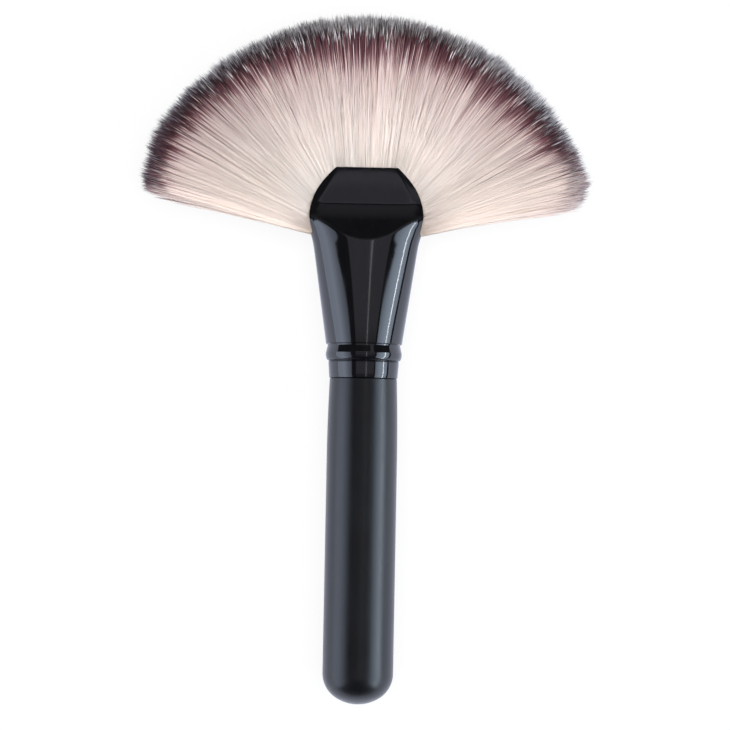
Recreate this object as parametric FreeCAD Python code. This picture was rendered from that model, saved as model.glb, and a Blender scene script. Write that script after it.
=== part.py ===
import FreeCAD, Part
import math
import os

from FreeCAD import Placement, Rotation, Vector

# A fan make-up brush lying on its back: a turned wooden handle, a spun and pressed
# metal ferrule, the hardened glue inside it and the fanned tuft of bristles.
# Millimetres. The brush's axis runs along +Y, from the domed end of the handle to the
# bristle tips, the fan spreads along X, and the widest ring rests on the plane Z = 0.
# Stations are distances along the axis, counted from the domed end of the handle.

# Handle
handle_length = 80.1
handle_radius = 8.7
handle_neck_radius = 8.3
handle_neck_run = 20.0
dome_crown_margin = 1.3
dome_edge_inset = 1.6
tenon_length = 12.0
tenon_chamfer = 0.8
tenon_clearance = 0.06

# Ferrule, round part
ferrule_wall = 0.35
skirt_length = 4.2
skirt_rim_radius = 8.43
skirt_top_radius = 8.73
crimp_depth = 0.18
crimp_width = 0.5
bead_radius = 9.42
bead_length = 3.6
bead_crest_share = 0.55
crimp_to_neck = 0.4
neck_radius = 9.4

# Ferrule, flattened part
cone_length = 24.3
cone_steps = 5
shoulder_half_width = 13.0
shoulder_half_thickness = 7.7
lip_radius = 14.5
lip_centre_rise = 6.9
crease_rise = 9.8
mouth_rise = 19.0
crease_flare = 2.3
mouth_flare = 4.0
crease_half_thickness = 5.25
mouth_half_thickness = 3.0
pressed_crease = 3.75
pressed_mouth = 2.7
pressed_sag = 0.25
slit_rise = 1.7

# Glue
glue_length = 9.5
glue_clearance = 0.05

# Bristles
hair_length = 38.0
fan_radius = 58.1
fan_half_angle = 77.5
fan_half_width = 55.0
hair_clearance = 0.06
hair_overrun = 1.5
fan_start_radius = 12.0
fan_root_half_thickness = 2.2
fan_half_thickness = 7.0
fan_crown_radius = 50.0
rim_half_thickness = 1.6
lock_count = 32
groove_start_radius = 22.0
groove_floor_start = 2.6
groove_floor_end = 4.6
groove_half_angle = 27.0
groove_start_height = 1.2
groove_end_height = 4.1
notch_half_width = 1.2
notch_depth_mean = 3.0
notch_depth_swing = 1.4
notch_beat = 2.4

# Worked out from the sizes above
skirt_top = handle_length + skirt_length
bead_start = skirt_top + crimp_width
bead_end = bead_start + bead_length
neck = bead_end + crimp_to_neck
shoulder = neck + cone_length
lip_centre = shoulder + lip_centre_rise
crease = shoulder + crease_rise
mouth = shoulder + mouth_rise
slit_start = shoulder + slit_rise
overall_length = mouth + hair_length
fan_centre = overall_length - fan_radius
tenon_end = handle_length + tenon_length
glue_start = tenon_end + glue_clearance
glue_end = glue_start + glue_length
axis_height = max(bead_radius, neck_radius, handle_radius)
cutting_margin = 3.0
clear_span = 2 * fan_radius


def place(x, along, z):
    """Point of the part's frame from a station along the axis and a height above it."""
    return Vector(x, along - overall_length / 2, axis_height + z)


def turned(profile_edges):
    """Solid of revolution about the brush's axis, from edges in the X, station plane."""
    face = Part.Face(Part.Wire(profile_edges))
    return face.revolve(place(0, 0, 0), Vector(0, 1, 0), 360)


def straight(first, second):
    """Straight profile edge between two (radius, station) points."""
    return Part.makeLine(place(first[0], first[1], 0), place(second[0], second[1], 0))


def curved(first, middle, last):
    """Round profile edge through three (radius, station) points."""
    points = [place(radius, along, 0) for radius, along in (first, middle, last)]
    return Part.Arc(*points).toShape()


def dome_edges():
    """Crown arc centred on the axis and the edge arc that runs from it into the grip."""
    crown_radius = handle_radius + dome_crown_margin
    edge_radius = handle_radius - dome_edge_inset
    reach = dome_crown_margin + dome_edge_inset
    edge_along = crown_radius - math.sqrt(reach**2 - dome_edge_inset**2)
    lean = math.atan2(dome_edge_inset, crown_radius - edge_along)

    def on_crown(angle):
        return crown_radius * math.sin(angle), crown_radius * (1 - math.cos(angle))

    def on_edge(angle):
        along = edge_along - edge_radius * math.cos(angle)
        return dome_edge_inset + edge_radius * math.sin(angle), along

    crown = curved(on_crown(0), on_crown(lean / 2), on_crown(lean))
    side = math.pi / 2
    edge = curved(on_crown(lean), on_edge((lean + side) / 2), (handle_radius, edge_along))
    return crown, edge, edge_along


# Handle: one turned profile, a domed end, a straight grip that draws in a little
# at the ferrule, and a tenon that the skirt of the ferrule is glued over
def make_handle():
    tenon_radius = skirt_rim_radius - ferrule_wall - tenon_clearance
    draw_in = handle_radius - handle_neck_radius
    grip_end = handle_length - handle_neck_run
    crown, dome_side, grip_start = dome_edges()
    edges = [
        crown,
        dome_side,
        straight((handle_radius, grip_start), (handle_radius, grip_end)),
        curved(
            (handle_radius, grip_end),
            (handle_radius - draw_in / 4, handle_length - handle_neck_run / 2),
            (handle_neck_radius, handle_length),
        ),
        straight((handle_neck_radius, handle_length), (tenon_radius, handle_length)),
        straight((tenon_radius, handle_length), (tenon_radius, tenon_end - tenon_chamfer)),
        straight((tenon_radius, tenon_end - tenon_chamfer), (tenon_radius - tenon_chamfer, tenon_end)),
        straight((tenon_radius - tenon_chamfer, tenon_end), (0, tenon_end)),
        straight((0, tenon_end), (0, 0)),
    ]
    return turned(edges)


def bead(inset, foot, crest, head):
    """The rolled ring's profile: round outside, and plain flanks on its hidden inner side."""
    if inset == 0:
        return [curved(foot, crest, head)]
    return [straight(foot, crest), straight(crest, head)]


# Ferrule: the skirt, the crimped line and the rolled ring are turned
def round_form(inset):
    start = handle_length - cutting_margin
    crimp_radius = skirt_top_radius - crimp_depth - inset
    crest = bead_start + bead_crest_share * bead_length
    bead_foot = skirt_top_radius - inset
    bead_head = neck_radius - crimp_depth - inset
    edges = [
        straight((0, start), (skirt_rim_radius - inset, start)),
        straight((skirt_rim_radius - inset, start), (skirt_rim_radius - inset, handle_length)),
        straight((skirt_rim_radius - inset, handle_length), (skirt_top_radius - inset, skirt_top)),
        straight((skirt_top_radius - inset, skirt_top), (crimp_radius, skirt_top + crimp_width / 2)),
        straight((crimp_radius, skirt_top + crimp_width / 2), (bead_foot, bead_start)),
        *bead(inset, (bead_foot, bead_start), (bead_radius - inset, crest), (bead_head, bead_end)),
        straight((bead_head, bead_end), (neck_radius - inset, neck)),
        straight((neck_radius - inset, neck), (0, neck)),
        straight((0, neck), (0, start)),
    ]
    return turned(edges)


# One elliptical section across the axis
def oval(along, half_width, half_thickness):
    ellipse = Part.Ellipse(Vector(0, 0, 0), half_width, half_thickness)
    front = ellipse.toShape(0, math.pi)
    back = ellipse.toShape(math.pi, 2 * math.pi)
    wire = Part.Wire([front, back])
    wire.Placement = Placement(place(0, along, 0), Rotation(Vector(1, 0, 0), 90))
    return wire


# The tube above the ring: a circle that is drawn out to a wide flat oval
def oval_form(inset):
    flare = (mouth_flare - crease_flare) / (mouth - crease)
    closing = (crease_half_thickness - mouth_half_thickness) / (mouth - crease)
    sections = []
    for step in range(cone_steps):
        share = step / cone_steps
        sections.append(
            (
                neck + share * cone_length,
                neck_radius + share * (shoulder_half_width - neck_radius),
                neck_radius + share * (shoulder_half_thickness - neck_radius),
            )
        )
    sections += [
        (shoulder, shoulder_half_width, shoulder_half_thickness),
        (crease, lip_radius + crease_flare, crease_half_thickness),
        (
            mouth + cutting_margin,
            lip_radius + mouth_flare + flare * cutting_margin,
            mouth_half_thickness - closing * cutting_margin,
        ),
    ]
    wires = [oval(along, wide - inset, thick - inset) for along, wide, thick in sections]
    return Part.makeLoft(wires, True, True)


# The press tool's outline, seen from the side: hollow down to the crease, then flat
def press_form(inset):
    lead_in = (neck, shoulder_half_thickness + cone_length / 2)
    bend = (
        (shoulder + crease) / 2,
        (shoulder_half_thickness + pressed_crease) / 2 - pressed_sag,
    )
    closing = (pressed_crease - pressed_mouth) / (mouth - crease)
    beyond = (mouth + cutting_margin, pressed_mouth - closing * cutting_margin)
    below = (handle_length - cutting_margin, shoulder_half_thickness + cone_length / 2)

    def corner(point, side):
        return place(-clear_span / 2, point[0], side * (point[1] - inset))

    edges = []
    for side in (1, -1):
        run = [below, lead_in, (shoulder, shoulder_half_thickness)]
        for first, second in zip(run, run[1:]):
            edges.append(Part.makeLine(corner(first, side), corner(second, side)))
        edges.append(
            Part.Arc(
                corner((shoulder, shoulder_half_thickness), side),
                corner(bend, side),
                corner((crease, pressed_crease), side),
            ).toShape()
        )
        edges.append(Part.makeLine(corner((crease, pressed_crease), side), corner(beyond, side)))
    edges.append(Part.makeLine(corner(below, 1), corner(below, -1)))
    edges.append(Part.makeLine(corner(beyond, 1), corner(beyond, -1)))
    outline = Part.Wire(Part.__sortEdges__(edges))
    return Part.Face(outline).extrude(Vector(clear_span, 0, 0))


# The mouth's outline, seen from above: a circle cut off straight across its top
def lip_form(growth):
    height = Vector(0, 0, clear_span)
    low = -clear_span / 2
    circle = Part.Circle(place(0, lip_centre, low), Vector(0, 0, 1), lip_radius + growth)
    disc = Part.Face(Part.Wire(circle.toShape())).extrude(height)
    half = clear_span / 2
    tail_length = slit_start - handle_length
    tail = Part.makeBox(clear_span, tail_length, clear_span, place(-half, handle_length, low))
    top = mouth + growth
    above = Part.makeBox(clear_span, clear_span, clear_span, place(-half, top, low))
    return disc.cut(above).fuse(tail)


# The whole tube as a filled form, drawn in by an inset from its outer face
def tube_form(inset):
    return round_form(inset).fuse(oval_form(inset)).common(press_form(inset))


def make_ferrule():
    outer = tube_form(0).common(lip_form(0))
    return outer.cut(tube_form(ferrule_wall))


def slab(start, end):
    """Everything between two stations."""
    half = clear_span / 2
    return Part.makeBox(clear_span, end - start, clear_span, place(-half, start, -half))


# Glue: fills the round part of the ferrule between the tenon and the hair roots
def make_resin_plug():
    filled = tube_form(ferrule_wall + glue_clearance)
    return filled.common(slab(glue_start, glue_end))


# Hair inside the ferrule, down to the glue and a little way out past the lip
def hair_root():
    filled = tube_form(ferrule_wall + hair_clearance)
    inside = filled.common(slab(glue_end, mouth + hair_overrun))
    return inside.common(lip_form(hair_overrun))


# The fan before it is parted: a sector turned about the fan's centre
def fan_blank():
    def at(radius, z):
        return place(radius, fan_centre, z)

    half_section = [
        (fan_start_radius, fan_root_half_thickness),
        (fan_crown_radius, fan_half_thickness),
        (fan_radius, rim_half_thickness),
    ]
    front_points = [at(radius, z) for radius, z in half_section]
    back_points = [at(radius, -z) for radius, z in reversed(half_section)]
    outline = front_points + back_points
    face = Part.Face(Part.makePolygon(outline + outline[:1]))
    face.rotate(place(0, fan_centre, 0), Vector(0, 0, 1), 90 - fan_half_angle)
    sector = face.revolve(place(0, fan_centre, 0), Vector(0, 0, 1), 2 * fan_half_angle)
    half = fan_half_width
    return sector.common(
        Part.makeBox(2 * half, clear_span, clear_span, place(-half, fan_centre, -clear_span / 2))
    )


# A V-shaped parting between two locks, cut along the axis towards the tips
def groove_tool(side):
    slope = math.tan(math.radians(groove_half_angle))
    ends = [
        (groove_start_radius, groove_floor_start, groove_start_height),
        (fan_radius + cutting_margin, groove_floor_end, groove_end_height),
    ]
    floors = []
    lefts = []
    rights = []
    for radius, floor, height in ends:
        along = fan_centre + radius
        floors.append(place(0, along, side * floor))
        lefts.append(place(-slope * height, along, side * (floor + height)))
        rights.append(place(slope * height, along, side * (floor + height)))
    loops = [
        [floors[0], floors[1], lefts[1], lefts[0]],
        [floors[0], floors[1], rights[1], rights[0]],
        [lefts[0], lefts[1], rights[1], rights[0]],
        [floors[0], lefts[0], rights[0]],
        [floors[1], lefts[1], rights[1]],
    ]
    faces = [Part.Face(Part.makePolygon(loop + loop[:1])) for loop in loops]
    return Part.Solid(Part.Shell(faces))


# A notch through the rim where two locks part at their tips
def notch_tool(depth):
    low = -clear_span / 2
    corners = [
        place(0, fan_centre + fan_radius - depth, low),
        place(-notch_half_width, fan_centre + fan_radius + cutting_margin, low),
        place(notch_half_width, fan_centre + fan_radius + cutting_margin, low),
    ]
    face = Part.Face(Part.makePolygon(corners + corners[:1]))
    return face.extrude(Vector(0, 0, clear_span))


def swung(shape, angle):
    """Copy of a shape, swung about the fan's centre."""
    copy = shape.copy()
    copy.rotate(place(0, fan_centre, 0), Vector(0, 0, 1), angle)
    return copy


# Bristles: root and fan in one, parted into locks of uneven length
def make_bristles():
    pitch = 2 * fan_half_angle / lock_count
    front = groove_tool(1)
    back = groove_tool(-1)
    front_grooves = []
    back_grooves = []
    notches = []
    for index in range(1, lock_count):
        angle = index * pitch - fan_half_angle
        depth = notch_depth_mean + notch_depth_swing * math.sin(notch_beat * index)
        front_grooves.append(swung(front, angle))
        back_grooves.append(swung(back, angle - pitch / 2))
        notches.append(swung(notch_tool(depth), angle))
    fan = fan_blank().cut(front_grooves).cut(back_grooves).cut(notches)
    return fan.cut(lip_form(hair_clearance)).fuse(hair_root())


PARTS = {
    "handle": make_handle,
    "ferrule": make_ferrule,
    "resin_plug": make_resin_plug,
    "bristles": make_bristles,
}

os.makedirs("parts", exist_ok=True)
for node, make in PARTS.items():
    made = make()
    made.exportStep(os.path.join("parts", node + ".step"))
    box = made.optimalBoundingBox(True, False)
    print(
        f"{node}: solids {len(made.Solids)}, sound {made.isValid()}, "
        f"faces {len(made.Faces)}, volume {made.Volume / 1000:.2f} cm3, "
        f"X {box.XMin:.2f}..{box.XMax:.2f} Y {box.YMin:.2f}..{box.YMax:.2f} "
        f"Z {box.ZMin:.2f}..{box.ZMax:.2f}"
    )
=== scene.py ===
import sys
import logging
import math
from dataclasses import dataclass, field
from enum import Enum
from typing import Union

import bpy
import numpy as np
from mathutils import Matrix, Vector


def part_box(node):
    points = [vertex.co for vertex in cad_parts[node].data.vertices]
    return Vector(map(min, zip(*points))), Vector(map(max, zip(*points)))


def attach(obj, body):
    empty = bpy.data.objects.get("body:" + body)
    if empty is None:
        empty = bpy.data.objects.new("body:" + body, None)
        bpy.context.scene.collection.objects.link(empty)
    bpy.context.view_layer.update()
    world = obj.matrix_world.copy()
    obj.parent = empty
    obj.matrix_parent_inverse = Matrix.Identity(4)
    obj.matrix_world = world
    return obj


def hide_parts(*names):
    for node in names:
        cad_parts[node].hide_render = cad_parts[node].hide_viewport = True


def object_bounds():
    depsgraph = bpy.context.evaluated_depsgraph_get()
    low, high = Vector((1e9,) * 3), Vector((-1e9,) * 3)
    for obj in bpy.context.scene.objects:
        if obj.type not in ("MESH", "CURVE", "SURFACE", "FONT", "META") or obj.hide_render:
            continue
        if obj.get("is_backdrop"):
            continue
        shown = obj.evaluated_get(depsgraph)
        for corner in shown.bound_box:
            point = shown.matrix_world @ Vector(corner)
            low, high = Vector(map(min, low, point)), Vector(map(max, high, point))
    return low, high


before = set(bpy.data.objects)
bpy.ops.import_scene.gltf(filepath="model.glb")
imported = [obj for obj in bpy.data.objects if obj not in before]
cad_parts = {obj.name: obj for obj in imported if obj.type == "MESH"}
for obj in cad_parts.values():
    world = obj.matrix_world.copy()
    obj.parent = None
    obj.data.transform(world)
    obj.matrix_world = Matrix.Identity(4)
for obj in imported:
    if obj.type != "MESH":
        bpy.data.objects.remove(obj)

# A fan make-up brush on a pale floor: turned handle, pressed ferrule, fanned hair.
# Lengths are millimetres in the classes and metres in the meshes. Stations are
# distances along the brush's axis, counted from the domed end of the handle.
MM = 0.001
BODY = "root"
BAKE_MAP = "OFBake"
log = logging.getLogger("fan_brush")

Number = Union[float, "Value"]


def link(name: str, data: bpy.types.ID) -> bpy.types.Object:
    """Makes an object and links it to the scene.

    Args:
        name: Its name.
        data: The mesh, lamp or camera that it shows.

    Returns:
        The object.
    """
    made = bpy.data.objects.new(name, data)
    bpy.context.scene.collection.objects.link(made)
    return made


# Shader graphs
@dataclass(frozen=True)
class Value:
    """A socket of a shader graph. Arithmetic on it adds Math nodes.

    Args:
        graph: The graph that the socket belongs to.
        socket: The output socket, or nothing for a node without outputs.
    """

    graph: "Graph"
    socket: bpy.types.NodeSocket | None

    def __add__(self, other: Number) -> "Value":
        """Sum with a number or a socket."""
        return self.graph.maths("ADD", self, other)

    def __radd__(self, other: float) -> "Value":
        """Sum with a number on the left."""
        return self.graph.maths("ADD", other, self)

    def __sub__(self, other: Number) -> "Value":
        """Difference from a number or a socket."""
        return self.graph.maths("SUBTRACT", self, other)

    def __rsub__(self, other: float) -> "Value":
        """Difference with a number on the left."""
        return self.graph.maths("SUBTRACT", other, self)

    def __mul__(self, other: Number) -> "Value":
        """Product with a number or a socket."""
        return self.graph.maths("MULTIPLY", self, other)

    def __rmul__(self, other: float) -> "Value":
        """Product with a number on the left."""
        return self.graph.maths("MULTIPLY", other, self)

    def __truediv__(self, other: Number) -> "Value":
        """Quotient by a number or a socket."""
        return self.graph.maths("DIVIDE", self, other)

    def __rtruediv__(self, other: float) -> "Value":
        """Quotient of a number on the left."""
        return self.graph.maths("DIVIDE", other, self)


class Graph:
    """The node tree of a material, a lamp or a world, emptied and ready to be filled."""

    def __init__(self, name: str, tree: bpy.types.NodeTree | None = None) -> None:
        """Takes the given tree, or the tree of a new material.

        Args:
            name: The material's name.
            tree: The node tree of a lamp or a world.
        """
        self.material = None
        if tree is None:
            self.material = bpy.data.materials.new(name)
            self.material.use_nodes = True
            tree = self.material.node_tree
        self.tree = tree
        self.tree.nodes.clear()

    def node(
        self,
        kind: str,
        settings: dict | None = None,
        inputs: dict | None = None,
        output: int | str = 0,
    ) -> Value:
        """Adds a node.

        Args:
            kind: The node's type.
            settings: Its properties. "stops" holds a ramp's (place, colour) pairs.
            inputs: Numbers, colours or values for its sockets, by name or index.
            output: The output socket that is wanted.

        Returns:
            The chosen output as a value.
        """
        made = self.tree.nodes.new(kind)
        for name, setting in (settings or {}).items():
            if name == "stops":
                self._set_stops(made.color_ramp, setting)
            else:
                setattr(made, name, setting)
        for name, given in (inputs or {}).items():
            socket = made.inputs[name]
            if isinstance(given, Value):
                self.tree.links.new(given.socket, socket)
            else:
                socket.default_value = given
        return Value(self, made.outputs[output] if len(made.outputs) else None)

    @staticmethod
    def _set_stops(ramp: bpy.types.ColorRamp, stops: list[tuple]) -> None:
        """Puts colour stops on a ramp.

        Args:
            ramp: The ramp, which starts with two stops.
            stops: (place, colour) pairs from left to right.
        """
        while len(ramp.elements) < len(stops):
            ramp.elements.new(0.5)
        for element, (place, colour) in zip(ramp.elements, stops):
            element.position = place
            element.color = (*colour, 1.0)

    def maths(self, operation: str, first: Number, second: Number) -> Value:
        """Result of a Math node on two operands."""
        return self.node("ShaderNodeMath", {"operation": operation}, {0: first, 1: second})

    def ramp(self, factor: Value, stops: list[tuple]) -> Value:
        """Colour of a ramp of (place, colour) stops at a factor."""
        return self.node("ShaderNodeValToRGB", {"stops": stops}, {"Fac": factor})

    def span(self, value: Value, low: float, high: float, start: float, end: float) -> Value:
        """Maps low to high onto start to end, and holds the value there."""
        limits = {"From Min": low, "From Max": high, "To Min": start, "To Max": end}
        return self.node("ShaderNodeMapRange", {"clamp": True}, {"Value": value, **limits})

    def mix(self, share: Number, first: object, second: object, blend: str = "MIX") -> Value:
        """Blends two colours.

        Args:
            share: How much of the second one.
            first: A colour or a value.
            second: A colour or a value.
            blend: The blend mode.

        Returns:
            The blended colour.
        """
        settings = {"data_type": "RGBA", "blend_type": blend, "clamp_factor": True}
        colours = {6: self._opaque(first), 7: self._opaque(second)}
        return self.node("ShaderNodeMix", settings, {0: share, **colours}, output=2)

    @staticmethod
    def _opaque(colour: object) -> object:
        """A colour of three numbers with its alpha added, or a value as it is."""
        return colour if isinstance(colour, Value) else (*colour, 1.0)

    def noise(self, scale: float, detail: float, stretch: Vector | None = None) -> Value:
        """Noise over the object's own coordinates.

        Args:
            scale: Cells to the metre.
            detail: Octaves.
            stretch: How much each axis is scaled first.

        Returns:
            The noise, from 0 to 1.
        """
        spot = self.node("ShaderNodeTexCoord", output="Object")
        if stretch is not None:
            spot = self.node("ShaderNodeMapping", inputs={"Vector": spot, "Scale": stretch})
        return self.node(
            "ShaderNodeTexNoise",
            inputs={"Vector": spot, "Scale": scale, "Detail": detail},
            output="Fac",
        )

    def bump(self, height: Value, distance: float, strength: float) -> Value:
        """Bump normal from a height.

        Args:
            height: The height, from 0 to 1.
            distance: How deep a height of 1 is, in metres.
            strength: The share of it that shows.

        Returns:
            The normal.
        """
        return self.node(
            "ShaderNodeBump",
            inputs={"Height": height, "Distance": distance, "Strength": strength},
            output="Normal",
        )

    def finish(self, inputs: dict) -> bpy.types.Material:
        """Ends the graph in a Principled shader with the given inputs."""
        return self.surface(self.node("ShaderNodeBsdfPrincipled", inputs=inputs))

    def surface(self, shader: Value, end: str = "Material") -> bpy.types.Material | None:
        """Ends a Material, Light or World graph in a shader and returns its material, if any."""
        self.node(f"ShaderNodeOutput{end}", inputs={"Surface": shader})
        return self.material


def linear(red: float, green: float, blue: float) -> tuple[float, float, float]:
    """Scene-linear colour of a screen colour.

    Args:
        red: From 0 to 255.
        green: From 0 to 255.
        blue: From 0 to 255.

    Returns:
        The three linear numbers.
    """

    def one(level: float) -> float:
        """Linear share of one level."""
        share = level / 255
        return share / 12.92 if share <= 0.04045 else ((share + 0.055) / 1.055) ** 2.4

    return one(red), one(green), one(blue)


# Finishes
@dataclass(frozen=True)
class SatinLacquer:
    """Black lacquer on turned wood: a soft sheen with a faint ripple and fine dust."""

    colour: tuple = linear(4, 4, 5)
    worn_colour: tuple = linear(8, 8, 10)
    smooth: float = 0.29
    rough: float = 0.36
    ripple: float = 0.00004
    ripple_strength: float = 0.35
    grain_scale: float = 900.0
    cloud_scale: float = 60.0
    specular: float = 0.6
    sheen: float = 0.12
    sheen_roughness: float = 0.35

    def material(self) -> bpy.types.Material:
        """Builds the shader graph.

        Returns:
            The material.
        """
        graph = Graph("satin_black_lacquer")
        grain = graph.noise(self.grain_scale, 3.0, Vector((1.0, 0.35, 1.0)))
        cloud = graph.noise(self.cloud_scale, 3.0)
        roughness = graph.span(cloud * 0.6 + grain * 0.4, 0.35, 0.65, self.smooth, self.rough)
        colour = graph.mix(graph.span(cloud, 0.4, 0.7, 0.0, 1.0), self.colour, self.worn_colour)
        return graph.finish(
            {
                "Base Color": colour,
                "Roughness": roughness,
                "Normal": graph.bump(
                    grain * 0.5 + cloud * 0.5, self.ripple, self.ripple_strength
                ),
                "Specular IOR Level": self.specular,
                "Sheen Weight": self.sheen,
                "Sheen Roughness": self.sheen_roughness,
            }
        )


@dataclass(frozen=True)
class GlossBlack:
    """Gloss black enamel on spun aluminium, with faint polishing marks."""

    colour: tuple = linear(5, 5, 7)
    polished_colour: tuple = linear(10, 10, 13)
    smooth: float = 0.06
    rough: float = 0.12
    wave: float = 0.00005
    wave_strength: float = 0.25
    polish_scale: float = 500.0
    wave_scale: float = 110.0
    specular: float = 0.85

    def material(self) -> bpy.types.Material:
        """Builds the shader graph.

        Returns:
            The material.
        """
        graph = Graph("gloss_black_enamel")
        polish = graph.noise(self.polish_scale, 4.0, Vector((1.0, 0.15, 1.0)))
        wave = graph.noise(self.wave_scale, 2.0)
        roughness = graph.span(polish, 0.35, 0.7, self.smooth, self.rough)
        share = graph.span(polish, 0.3, 0.8, 0.0, 1.0)
        colour = graph.mix(share, self.colour, self.polished_colour)
        return graph.finish(
            {
                "Base Color": colour,
                "Roughness": roughness,
                "Normal": graph.bump(wave, self.wave, self.wave_strength),
                "Specular IOR Level": self.specular,
            }
        )


@dataclass(frozen=True)
class HardGlue:
    """Clear amber glue with a few milky clouds."""

    clear: tuple = linear(196, 160, 96)
    milky: tuple = linear(222, 203, 160)
    cloud_scale: float = 350.0
    smooth: float = 0.15
    rough: float = 0.35
    dimple: float = 0.00005
    dimple_strength: float = 0.4

    def material(self) -> bpy.types.Material:
        """Builds the shader graph.

        Returns:
            The material.
        """
        graph = Graph("amber_glue")
        clouds = graph.noise(self.cloud_scale, 4.0)
        return graph.finish(
            {
                "Base Color": graph.mix(clouds, self.clear, self.milky),
                "Roughness": graph.span(clouds, 0.3, 0.7, self.smooth, self.rough),
                "Normal": graph.bump(clouds, self.dimple, self.dimple_strength),
            }
        )


@dataclass(frozen=True)
class DyedHair:
    """Soft dyed fibre. The strands carry their own dye and tip numbers.

    The attribute reach is the share of the way to the fan's edge. starts is where
    the dye is more than half way in, soft is how long it takes, ends_at is where the
    tip colour takes over, tip is the tip's lightness, tint is a strand's own
    lightness, and flank is 1 at the two sides. light is painted light and shade for
    its part of the fan: a multiplier on the colour, highest at the middle and at the
    two outermost edges, that stands in for how the lamps fall on the fan.
    The dye goes from 0 at the root to 1, and a weak, slow part of it sets in early.
    """

    root: tuple = linear(251, 240, 229)
    flank: tuple = linear(254, 236, 223)
    body: tuple = linear(249, 236, 225)
    blush: tuple = linear(240, 224, 216)
    rose: tuple = linear(221, 197, 191)
    mauve: tuple = linear(160, 122, 123)
    plum: tuple = linear(107, 62, 68)
    deep: tuple = linear(83, 45, 52)
    black: tuple = linear(48, 31, 37)
    grey: tuple = linear(142, 136, 139)
    white: tuple = linear(255, 251, 253)
    tip_run: float = 0.03
    dye_at_start: float = 0.6
    slow_dye: float = 0.44
    flank_share: float = 0.85
    darkest: float = 0.82
    lightest: float = 1.06
    rough: float = 0.55
    smooth: float = 0.4
    specular: float = 0.35

    def material(self) -> bpy.types.Material:
        """Builds the shader graph.

        Returns:
            The material.
        """
        graph = Graph("dyed_fibre")

        def carried(name: str) -> Value:
            """Reads an attribute of the strands."""
            return graph.node("ShaderNodeAttribute", {"attribute_name": name}, output="Fac")

        reach, starts = carried("reach"), carried("starts")
        rest = 1 - self.dye_at_start
        dye = self.dye_at_start + (reach - starts) / carried("soft") * rest
        slow = graph.span(reach / starts, 0.3, 0.97, 0.0, self.slow_dye)
        places = (0.0, 0.12, 0.28, 0.44, 0.62, 0.82, 1.0)
        colours = (self.root, self.body, self.blush, self.rose, self.mauve, self.plum, self.deep)
        dyed = graph.ramp(graph.maths("MAXIMUM", dye, slow), list(zip(places, colours)))
        undyed = graph.span(reach / starts, 0.7, 1.0, 1.0, 0.0)
        dyed = graph.mix(carried("flank") * undyed * self.flank_share, dyed, self.flank)
        tip = graph.ramp(
            carried("tip"), [(0.0, self.black), (0.5, self.grey), (1.0, self.white)]
        )
        ends = graph.span((reach - carried("ends_at")) / self.tip_run, -0.5, 0.5, 0.0, 1.0)
        tint = graph.span(carried("tint"), 0.0, 1.0, self.darkest, self.lightest)
        # Painted light and shade: each strand's colour is scaled by the painted lightness of its
        # part of the fan.
        tint = tint * carried("light")
        shade = graph.node("ShaderNodeCombineColor", inputs={0: tint, 1: tint, 2: tint})
        colour = graph.mix(1.0, graph.mix(ends, dyed, tip), shade, "MULTIPLY")
        return graph.finish(
            {
                "Base Color": colour,
                "Roughness": graph.span(carried("tint"), 0.0, 1.0, self.rough, self.smooth),
                "Specular IOR Level": self.specular,
            }
        )


# Curves, and where the brush lies
def through(place: float, places: tuple, heights: tuple) -> float:
    """Reads a smooth curve through points.

    Args:
        place: Where to read it.
        places: The points' places, rising.
        heights: The points' heights.

    Returns:
        The height there.
    """
    slopes = np.gradient(np.array(heights), np.array(places))
    last = len(places) - 2
    low = min(max(int(np.searchsorted(places, place)) - 1, 0), last)
    run = places[low + 1] - places[low]
    t = min(max((place - places[low]) / run, 0.0), 1.0)
    start = (1 + 2 * t) * (1 - t) ** 2 * heights[low] + t * (1 - t) ** 2 * run * slopes[low]
    end = t**2 * (3 - 2 * t) * heights[low + 1] - t**2 * (1 - t) * run * slopes[low + 1]
    return start + end


@dataclass(frozen=True)
class Axis:
    """The brush's axis in the frame.

    Args:
        start: How far along Y the domed end lies.
        height: How high the axis runs.
    """

    start: float
    height: float

    @classmethod
    def from_frame(cls) -> "Axis":
        """Reads the axis off the handle in the frame."""
        low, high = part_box("handle")
        return cls(low.y / MM, (low.z + high.z) / 2 / MM)

    def points(self, x: np.ndarray, station: np.ndarray, rise: np.ndarray) -> np.ndarray:
        """Points in the frame.

        Args:
            x: Distances to the right of the axis.
            station: Distances along the axis.
            rise: Heights above the axis.

        Returns:
            The points in metres, one a row.
        """
        spread = np.broadcast_arrays(x, station, rise)
        points = np.stack(spread, axis=-1).astype(float)
        points[..., 1] += self.start
        points[..., 2] += self.height
        return points * MM


class Skin:
    """Rows of points and the faces between them."""

    def __init__(self) -> None:
        """Starts with nothing."""
        self.rows: list[np.ndarray] = []
        self.faces: list[tuple[int, ...]] = []
        self.count = 0

    def row(self, points: np.ndarray) -> np.ndarray:
        """Adds a row of points.

        Args:
            points: The points, one a row.

        Returns:
            Their numbers.
        """
        first = self.count
        self.rows.append(points)
        self.count += len(points)
        return np.arange(first, self.count)

    def band(self, near: np.ndarray, far: np.ndarray) -> None:
        """Fills the band between two rows of as many points.

        Args:
            near: The numbers of one row.
            far: The numbers of the next row.
        """
        for k in range(len(near) - 1):
            face = (near[k], near[k + 1], far[k + 1], far[k])
            kept = tuple(int(n) for i, n in enumerate(face) if n != face[i - 1])
            if len(kept) > 2:
                self.faces.append(kept)

    def object(self, name: str, crease_angle: float) -> bpy.types.Object:
        """Makes the mesh object, smooth but for its creases.

        Args:
            name: The object's name.
            crease_angle: The turn above which an edge stays sharp, in degrees.

        Returns:
            The object, linked to the scene.
        """
        mesh = bpy.data.meshes.new(name)
        mesh.from_pydata(np.concatenate(self.rows).tolist(), [], self.faces)
        mesh.validate()
        mesh.shade_smooth()
        mesh.set_sharp_from_angle(angle=math.radians(crease_angle))
        return link(name, mesh)


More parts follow.
